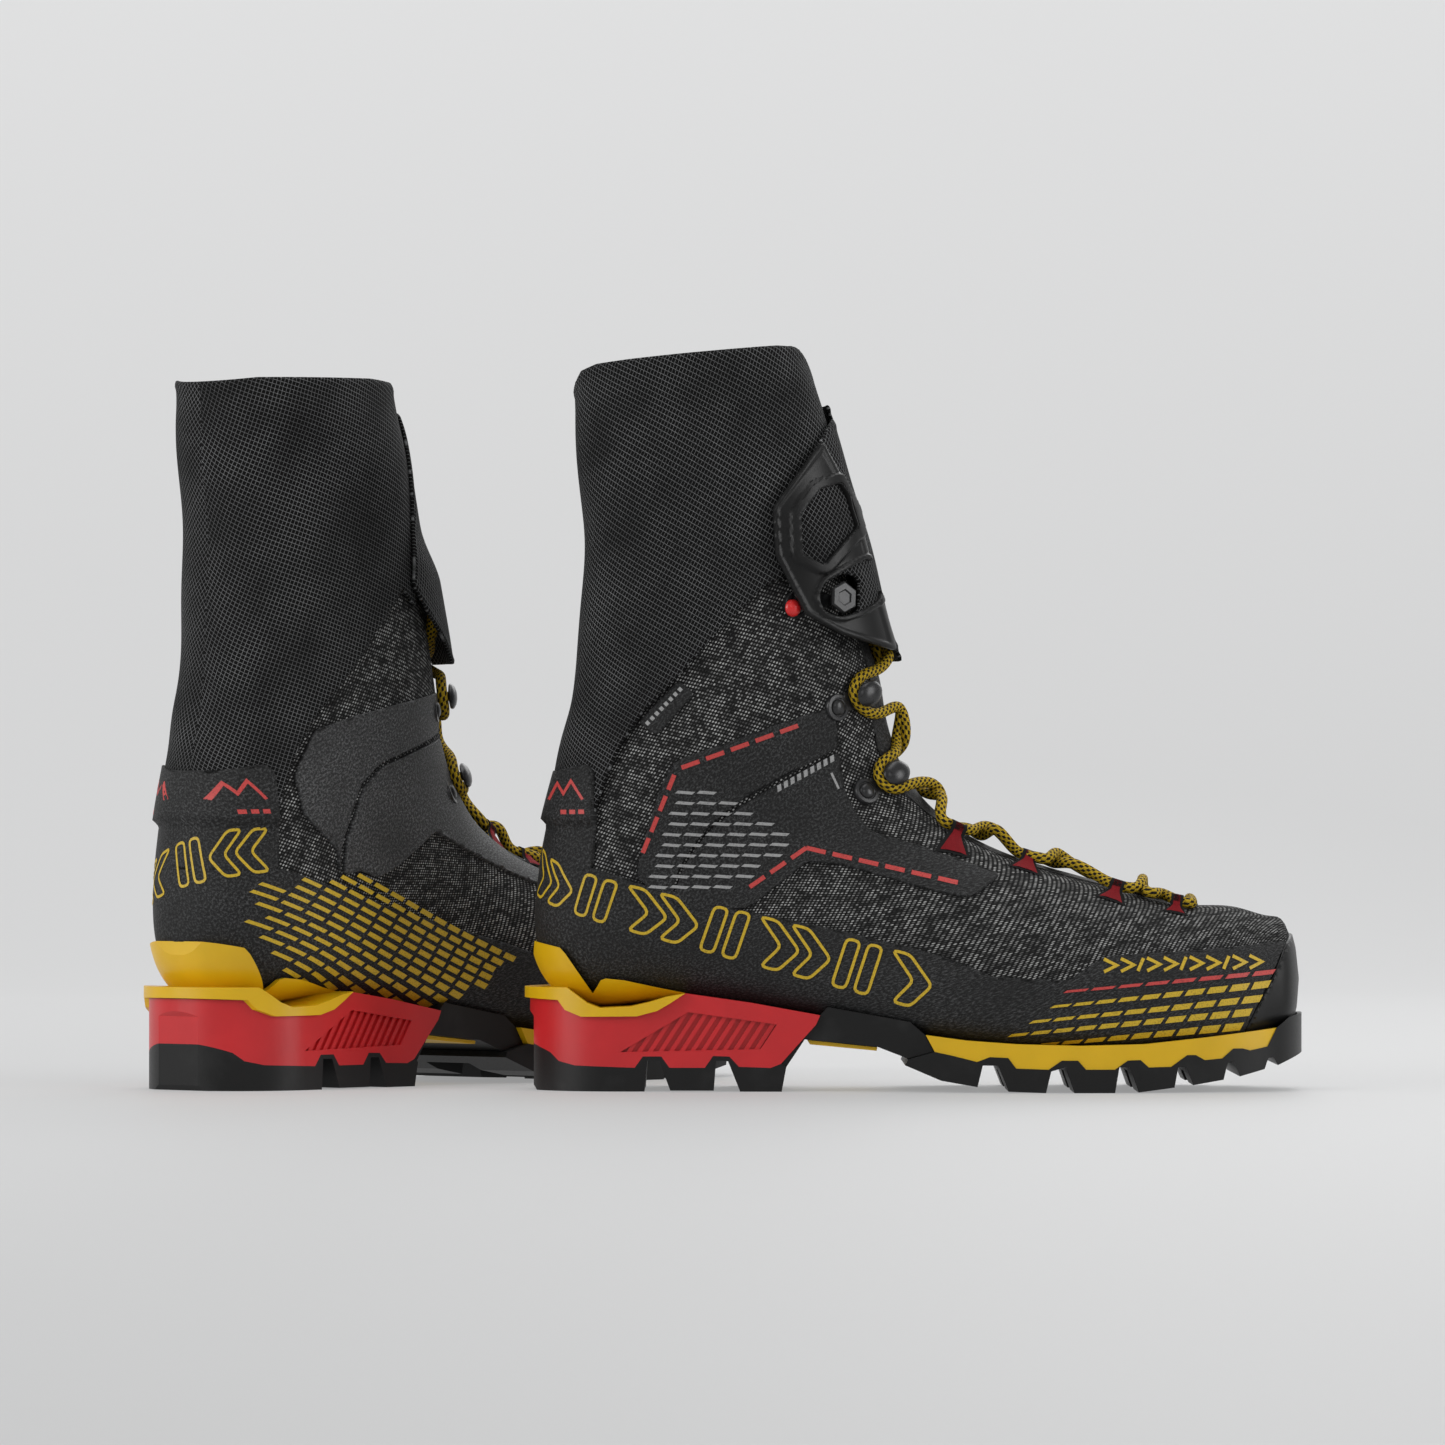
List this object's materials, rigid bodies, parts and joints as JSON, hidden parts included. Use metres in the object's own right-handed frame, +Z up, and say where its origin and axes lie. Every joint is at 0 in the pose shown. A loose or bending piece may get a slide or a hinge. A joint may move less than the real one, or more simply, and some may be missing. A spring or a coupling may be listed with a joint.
{
  "type": "mountaineering boots",
  "caption": "Pair of high mountaineering boots with built-in gaiters, front lacing under a fold-open flap, and lugged soles with a heel crampon ledge.",
  "frame": {"origin": "centre of the pair's bounding box, on the floor", "axes": "+X towards the right boot's toe, along the pair's longest extent; +Z up from the floor; the right boot is at -Y"},
  "size_m": [0.457, 0.2721, 0.2902],
  "materials": {
    "rubber_black": "matte, fine grain",
    "tpu_red": "satin",
    "tpu_yellow": "satin",
    "knit_black": "knitted, light flecks",
    "overlay_black": "welded microfibre, fine grain, printed",
    "gaiter_cloth": "woven, fine diagonal grid",
    "lining_cloth": "brushed",
    "footbed_felt": "felt",
    "webbing_red": "woven tape",
    "hook_metal": "satin black",
    "lace_cord": "round braid, yellow and black",
    "tab_black": "satin",
    "label_cloth": "woven label"
  },
  "bodies": {
    "right_boot": {"right_heel_outsole": "rubber_black", "right_forefoot_outsole": "rubber_black", "right_arch_bridge": "rubber_black", "right_heel_block": "tpu_red", "right_heel_ledge": "tpu_yellow", "right_forefoot_midsole": "tpu_yellow", "right_footbed": "footbed_felt", "right_vamp_knit": "knit_black", "right_vamp_lining": "lining_cloth", "right_toe_rand": "rubber_black", "right_side_band": "overlay_black", "right_quarter_panel": "overlay_black", "right_heel_tab": "overlay_black", "right_tongue": "overlay_black", "right_lace_loops": "webbing_red", "right_lower_hooks": "hook_metal", "right_flex_gusset": "knit_black", "right_lace_lower": "lace_cord", "right_lace_flex": "lace_cord"},
    "right_cuff": {"right_collar_knit": "knit_black", "right_collar_lining": "lining_cloth", "right_collar_panel": "overlay_black", "right_tongue_top": "overlay_black", "right_gaiter": "gaiter_cloth", "right_heel_tab_top": "overlay_black", "right_upper_hooks": "hook_metal", "right_lace_upper": "lace_cord", "right_fabric_label": "label_cloth"},
    "right_flap": {"right_front_flap": "gaiter_cloth", "right_flap_tab": "tab_black"},
    "left_boot": {"left_heel_outsole": "rubber_black", "left_forefoot_outsole": "rubber_black", "left_arch_bridge": "rubber_black", "left_heel_block": "tpu_red", "left_heel_ledge": "tpu_yellow", "left_forefoot_midsole": "tpu_yellow", "left_footbed": "footbed_felt", "left_vamp_knit": "knit_black", "left_vamp_lining": "lining_cloth", "left_toe_rand": "rubber_black", "left_side_band": "overlay_black", "left_quarter_panel": "overlay_black", "left_heel_tab": "overlay_black", "left_tongue": "overlay_black", "left_lace_loops": "webbing_red", "left_lower_hooks": "hook_metal", "left_flex_gusset": "knit_black", "left_lace_lower": "lace_cord", "left_lace_flex": "lace_cord"},
    "left_cuff": {"left_collar_knit": "knit_black", "left_collar_lining": "lining_cloth", "left_collar_panel": "overlay_black", "left_tongue_top": "overlay_black", "left_gaiter": "gaiter_cloth", "left_heel_tab_top": "overlay_black", "left_upper_hooks": "hook_metal", "left_lace_upper": "lace_cord", "left_fabric_label": "label_cloth"},
    "left_flap": {"left_front_flap": "gaiter_cloth", "left_flap_tab": "tab_black"}
  },
  "joints": [
    {"name": "right_ankle_flex", "type": "hinge", "parent": "right_boot", "child": "right_cuff", "pos_m": [-0.0158, -0.0807, 0.088], "axis": [0, 1, 0], "range_deg": [-5, 10], "stiffness_Nm_per_rad": 8, "deforming": ["right_flex_gusset", "right_lace_flex"]},
    {"name": "right_flap_open", "type": "hinge", "parent": "right_cuff", "child": "right_flap", "pos_m": [0.0342, -0.0432, 0.19], "axis": [0.149, -0.4178, 0.8962], "range_deg": [0, 110]},
    {"name": "left_boot_lift", "type": "slide", "parent": "right_boot", "child": "left_boot", "axis": [0, 0, 1], "range_m": [0, 0.3]},
    {"name": "left_ankle_flex", "type": "hinge", "parent": "left_boot", "child": "left_cuff", "pos_m": [-0.17431, -0.05813, 0.088], "axis": [-0.7431, 0.6691, 0], "range_deg": [-5, 10], "stiffness_Nm_per_rad": 8, "deforming": ["left_flex_gusset", "left_lace_flex"]},
    {"name": "left_flap_open", "type": "hinge", "parent": "left_cuff", "child": "left_flap", "pos_m": [-0.11299, -0.04606, 0.19], "axis": [0.2108, -0.3903, -0.8962], "range_deg": [0, 110]}
  ]
}
